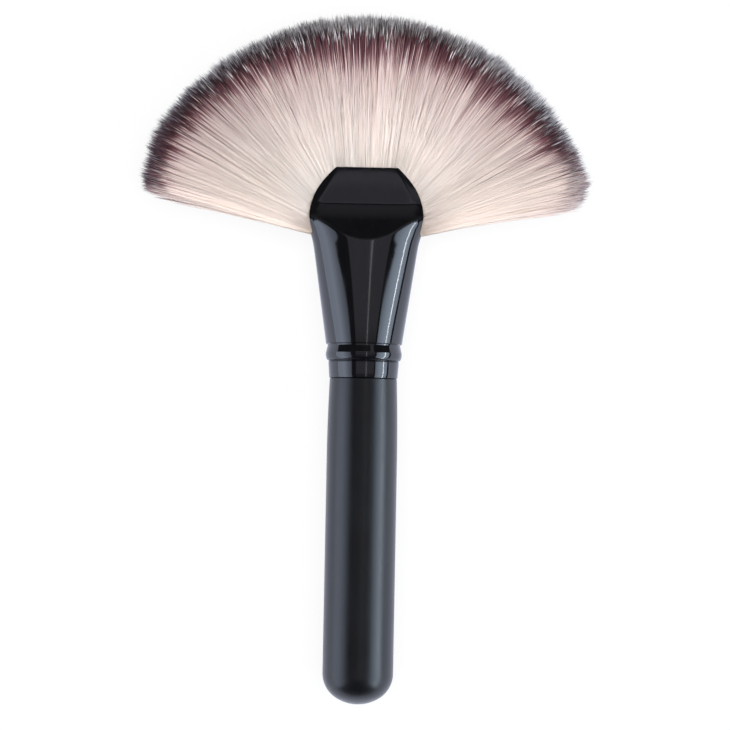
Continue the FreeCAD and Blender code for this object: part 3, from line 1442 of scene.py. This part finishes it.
    def sector_piece(
        self,
        sector: Sector,
        lines: np.ndarray,
        colours: dict[str, np.ndarray],
    ) -> bpy.types.Object:
        """Makes one sector's strands into a mesh object.

        Args:
            sector: Which sector.
            lines: The centre lines in metres, strands by rings.
            colours: The colour numbers of every ring.

        Returns:
            The object.
        """
        count, stops = lines.shape[:2]
        rings = stops - 1
        width = np.interp(self.ring_shares[:-1], self.width_shares, self.widths)
        width = width[None, :] * self.random.uniform(*self.width_range, count)[:, None] * MM
        along = np.gradient(lines, axis=1)[:, :-1]
        along /= np.linalg.norm(along, axis=2, keepdims=True)
        across = np.cross(along, np.array([0.0, 0.0, 1.0]))
        across /= np.linalg.norm(across, axis=2, keepdims=True)
        upward = np.cross(across, along)
        spin = self.random.uniform(0, 2 * math.pi, count)
        corners = spin[:, None] + np.arange(3) * 2 * math.pi / 3
        ring_points = (
            lines[:, :-1, None, :]
            + width[:, :, None, None] * np.cos(corners)[:, None, :, None] * across[:, :, None, :]
            + width[:, :, None, None] * np.sin(corners)[:, None, :, None] * upward[:, :, None, :]
        )
        strand_points = np.concatenate(
            [ring_points.reshape(count, rings * 3, 3), lines[:, -1:, :]], axis=1
        )
        per_strand = rings * 3 + 1
        faces = self.strand_faces(rings)
        sizes = np.array([len(face) for face in faces])
        pattern = np.concatenate(faces)
        offsets = np.arange(count)[:, None] * per_strand
        mesh = bpy.data.meshes.new(sector.value)
        mesh.vertices.add(count * per_strand)
        mesh.vertices.foreach_set("co", strand_points.reshape(-1))
        loops = (pattern[None, :] + offsets).reshape(-1)
        mesh.loops.add(len(loops))
        mesh.loops.foreach_set("vertex_index", loops)
        all_sizes = np.tile(sizes, count)
        mesh.polygons.add(len(all_sizes))
        mesh.polygons.foreach_set("loop_start", np.cumsum(all_sizes) - all_sizes)
        mesh.polygons.foreach_set("use_smooth", np.ones(len(all_sizes), dtype=bool))
        mesh.update(calc_edges=True)
        self.write_map(mesh, count, faces)
        for name, numbers in colours.items():
            held = np.concatenate([np.repeat(numbers[:, :-1], 3, axis=1), numbers[:, -1:]], axis=1)
            layer = mesh.attributes.new(name, "FLOAT", "POINT")
            layer.data.foreach_set("value", held.reshape(-1).astype(np.float32))
        mesh.validate()
        return link(sector.value, mesh)

    @staticmethod
    def strand_faces(rings: int) -> list[np.ndarray]:
        """Faces of one strand: its root, the sides between its rings and its tip.

        Args:
            rings: How many rings of three points it has.

        Returns:
            The point numbers of each face.
        """
        faces = [np.array([2, 1, 0])]
        for ring in range(rings - 1):
            low = ring * 3
            for corner in range(3):
                other = (corner + 1) % 3
                side = (low + corner, low + other, low + 3 + other, low + 3 + corner)
                faces.append(np.array(side))
        low = (rings - 1) * 3
        for corner in range(3):
            faces.append(np.array([low + corner, low + (corner + 1) % 3, rings * 3]))
        return faces

    def write_map(self, mesh: bpy.types.Mesh, count: int, faces: list[np.ndarray]) -> None:
        """Gives every strand a cell of the map, with its sides laid over each other.

        Args:
            mesh: The mesh.
            count: How many strands it has.
            faces: The faces of one strand.
        """
        shares = np.array(self.ring_shares)
        columns = max(1, math.ceil(math.sqrt(count * self.cell_aspect)))
        rows = math.ceil(count / columns)
        rings = len(shares) - 1
        left, middle, right = 0.15, 0.5, 0.85
        across, along = [], []
        for face in faces:
            ring = np.minimum(face // 3, rings)
            root = len(set(ring.tolist())) == 1
            side = [left, right, right, left] if len(face) == 4 else [left, right, middle]
            across.append([left, middle, right] if root else side)
            along.append(np.array([0.0, 0.02, 0.0]) if root else shares[ring])
        across, along = np.concatenate(across), np.concatenate(along)
        number = np.arange(count)
        column, row = number % columns, number // columns
        u = (column[:, None] + across[None, :]) / columns
        v = (row[:, None] + 0.03 + 0.94 * along[None, :]) / rows
        layer = mesh.uv_layers.new(name=BAKE_MAP)
        layer.data.foreach_set("uv", np.stack([u, v], axis=-1).reshape(-1).astype(np.float32))


# The studio
@dataclass(frozen=True)
class Panel:
    """A soft lamp that only lights: the camera never sees it.

    Args:
        name: Its name.
        place: Where its middle is, in metres.
        aim: The point that it faces, in metres.
        size: Its width and height, in metres.
        radiance: How bright its face is, where 1 lights a white card to white.
        tint: Its colour.
        fade: (place, share) pairs of the brightness from its foot to its head.
        mirrored: Whether shiny faces show it.
    """

    name: str
    place: tuple
    aim: tuple
    size: tuple
    radiance: float
    tint: tuple = (1.0, 1.0, 1.0)
    fade: tuple = ()
    mirrored: bool = True

    def build(self) -> None:
        """Hangs the lamp."""
        lamp = bpy.data.lights.new(self.name, "AREA")
        lamp.shape = "RECTANGLE"
        lamp.size, lamp.size_y = self.size
        lamp.energy = self.radiance * math.pi * self.size[0] * self.size[1]
        lamp.color = self.tint
        if self.fade:
            self.grade(lamp)
        hung = link(self.name, lamp)
        hung.location = self.place
        toward = Vector(self.aim) - Vector(self.place)
        hung.rotation_euler = toward.to_track_quat("-Z", "Y").to_euler()
        hung.visible_camera = False
        hung.visible_glossy = self.mirrored

    def grade(self, lamp: bpy.types.Light) -> None:
        """Varies the lamp's brightness from its foot to its head.

        Args:
            lamp: The lamp.
        """
        lamp.use_nodes = True
        graph = Graph(self.name, lamp.node_tree)
        spot = graph.node("ShaderNodeNewGeometry", output="Parametric")
        height = graph.node("ShaderNodeSeparateXYZ", inputs={0: spot}, output="Y")
        stops = [(place, (share, share, share)) for place, share in self.fade]
        glow = graph.node("ShaderNodeEmission", inputs={"Strength": graph.ramp(height, stops)})
        graph.surface(glow, "Light")


@dataclass
class Studio:
    """White floor, soft lamps on both sides and the camera overhead."""

    lens: float = 100.0
    sensor: float = 36.0
    distance: float = 0.5016
    target: tuple = (0.35, -1.62, 9.42)
    tilt: float = 2.2
    roll: float = 1.08
    floor_size: float = 8.0
    camera_glow: float = 0.86
    mirror_glow: float = 0.35
    mirror_tint: tuple = (0.7, 0.85, 1.4)
    tone_scale: float = 3.0
    paint: tuple = ((0.86, 0.86, 0.86), (0.88, 0.88, 0.88))
    sky_colour: tuple = (0.9, 0.95, 1.0)
    sky_strength: float = 0.05
    box_middle: float = -0.2
    box_length: float = 0.66
    box_height: float = 0.62
    box_distance: float = 0.5
    right_lift: float = 0.07

    def build(self) -> None:
        """Builds the whole studio."""
        self.camera()
        self.floor()
        self.world()
        for panel in self.panels():
            panel.build()

    def panels(self) -> list[Panel]:
        """The lamps: a tall box on each side, a strip on the right and five overhead.

        Returns:
            The lamps, ready to be hung.
        """
        violet, blue = (0.85, 0.96, 1.2), (0.81, 0.98, 1.2)
        grey, pale, warm = (0.97, 0.95, 1.1), (0.98, 1.0, 1.04), (1.03, 1.0, 0.965)
        left = ((0.0, 0.8), (0.2, 0.9), (0.36, 1.0), (0.51, 0.8), (0.68, 0.55), (1.0, 0.34))
        right = ((0.0, 0.8), (0.2, 0.88), (0.38, 1.0), (0.53, 0.9), (0.72, 0.7), (1.0, 0.46))
        above = (
            *((0.0, 0.2), (0.3, 0.25), (0.35, 0.62), (0.41, 0.62), (0.47, 0.25), (0.57, 0.35)),
            *((0.65, 0.66), (0.8, 0.66), (0.86, 0.68), (0.93, 0.95), (1.0, 1.0)),
        )
        far = ((0.0, 1.0), (0.5, 0.7), (1.0, 0.0))
        return [
            self.box("box_left", -1, 0.0, 2.3, violet, left),
            self.box("box_right", 1, self.right_lift, 3.05, blue, right),
            Panel(
                "strip_right",
                (0.49, self.box_middle, 0.2),
                (0.0, self.box_middle, 0.0),
                (self.box_length, 0.013),
                19.0,
                pale,
            ),
            self.hung("overhead", (0.15, 0.015, 1.3), (1.5, 1.33), 0.4, grey, above),
            self.hung("overhead_far", (0.1, 1.26, 1.3), (1.0, 0.68), 0.16, grey, far),
            self.hung("overhead_right", (0.66, 0.78, 1.3), (0.3, 0.16), 0.3, grey),
            self.hung("strip_above", (0.19, -0.05, 1.25), (0.04, 1.0), 1.5, pale),
            self.hung("fill", (0.0, 0.0, 1.2), (1.1, 1.1), 4.15, warm, (), False),
        ]

    def box(
        self, name: str, side: int, lift: float, radiance: float, tint: tuple, fade: tuple
    ) -> Panel:
        """A tall box beside the brush.

        Args:
            name: Its name.
            side: -1 on the left and 1 on the right.
            lift: How far its foot is off the floor.
            radiance: How bright it is.
            tint: Its colour.
            fade: Its brightness from its foot to its head.

        Returns:
            The lamp.
        """
        rise = self.box_height / 2 + lift / 2
        place = (side * self.box_distance, self.box_middle, rise)
        size = (self.box_length, self.box_height - lift)
        return Panel(name, place, (0.0, self.box_middle, rise), size, radiance, tint, fade)

    @staticmethod
    def hung(
        name: str,
        place: tuple,
        size: tuple,
        radiance: float,
        tint: tuple,
        fade: tuple = (),
        mirrored: bool = True,
    ) -> Panel:
        """A lamp overhead that faces straight down, brighter or dimmer toward the far end."""
        return Panel(name, place, (*place[:2], 0.0), size, radiance, tint, fade, mirrored)

    def camera(self) -> None:
        """Hangs the camera over the brush, a little to the handle's side."""
        lens = bpy.data.cameras.new("camera")
        lens.lens, lens.sensor_width = self.lens, self.sensor
        lens.clip_start = 0.01
        held = link("camera", lens)
        lean = math.radians(self.tilt)
        back = Vector((0.0, -math.sin(lean), math.cos(lean)))
        held.location = Vector(self.target) * MM + back * self.distance
        turn = (-back).to_track_quat("-Z", "Y").to_matrix()
        roll = Matrix.Rotation(math.radians(self.roll), 3, "Z")
        held.rotation_euler = (turn @ roll).to_euler()
        bpy.context.scene.camera = held

    def floor(self) -> None:
        """Lays the white floor, which keeps a soft share of the shadow."""
        graph = Graph("white_floor")
        path = {
            name: graph.node("ShaderNodeLightPath", output=name)
            for name in ("Is Camera Ray", "Is Glossy Ray", "Is Transmission Ray")
        }
        seen = graph.maths("MAXIMUM", path["Is Camera Ray"], path["Is Transmission Ray"])
        seen = seen * self.camera_glow + path["Is Glossy Ray"] * self.mirror_glow
        tone = graph.noise(self.tone_scale, 2.0)
        paint = graph.mix(tone, *self.paint)
        matt = graph.node("ShaderNodeBsdfDiffuse", inputs={"Color": paint})
        shine = graph.mix(path["Is Glossy Ray"], (1.0, 1.0, 1.0), self.mirror_tint)
        glow = graph.node("ShaderNodeEmission", inputs={"Color": shine, "Strength": 1.0})
        shader = graph.node("ShaderNodeMixShader", inputs={0: seen, 1: matt, 2: glow})
        material = graph.surface(shader)
        half = self.floor_size / 2
        corners = [(-half, -half, 0), (half, -half, 0), (half, half, 0), (-half, half, 0)]
        mesh = bpy.data.meshes.new("floor")
        mesh.from_pydata(corners, [], [(0, 1, 2, 3)])
        mesh.materials.append(material)
        link("floor", mesh)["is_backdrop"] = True

    def world(self) -> None:
        """Makes the surroundings: dim for the light, white where the camera looks."""
        world = bpy.data.worlds.new("studio")
        world.use_nodes = True
        graph = Graph("studio", world.node_tree)
        seen = graph.node("ShaderNodeLightPath", output="Is Camera Ray")
        light = {"Color": (*self.sky_colour, 1.0), "Strength": self.sky_strength}
        dim = graph.node("ShaderNodeBackground", inputs=light)
        white = graph.node("ShaderNodeBackground", inputs={"Color": (1.0, 1.0, 1.0, 1.0)})
        mixed = graph.node("ShaderNodeMixShader", inputs={0: seen, 1: dim, 2: white})
        graph.surface(mixed, "World")
        bpy.context.scene.world = world


def corners() -> list[list[float]]:
    """Lowest and highest corner of the shown object as plain numbers."""
    return [[float(number) for number in corner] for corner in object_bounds()]


def main() -> None:
    """Builds the studio and the brush."""
    logging.basicConfig(level=logging.INFO, format="%(name)s %(message)s", stream=sys.stdout)
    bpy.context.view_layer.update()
    bpy.context.scene.view_settings.view_transform = "Standard"
    Studio().build()
    axis = Axis.from_frame()
    Handle(axis).build()
    ferrule = Ferrule(axis)
    ferrule.build()
    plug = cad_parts["resin_plug"]
    plug.data.materials.clear()
    plug.data.materials.append(HardGlue().material())
    log.info("%s: finished as amber glue", plug.name)
    BristleFan(axis, ferrule).build()


if __name__ == "__main__":
    main()
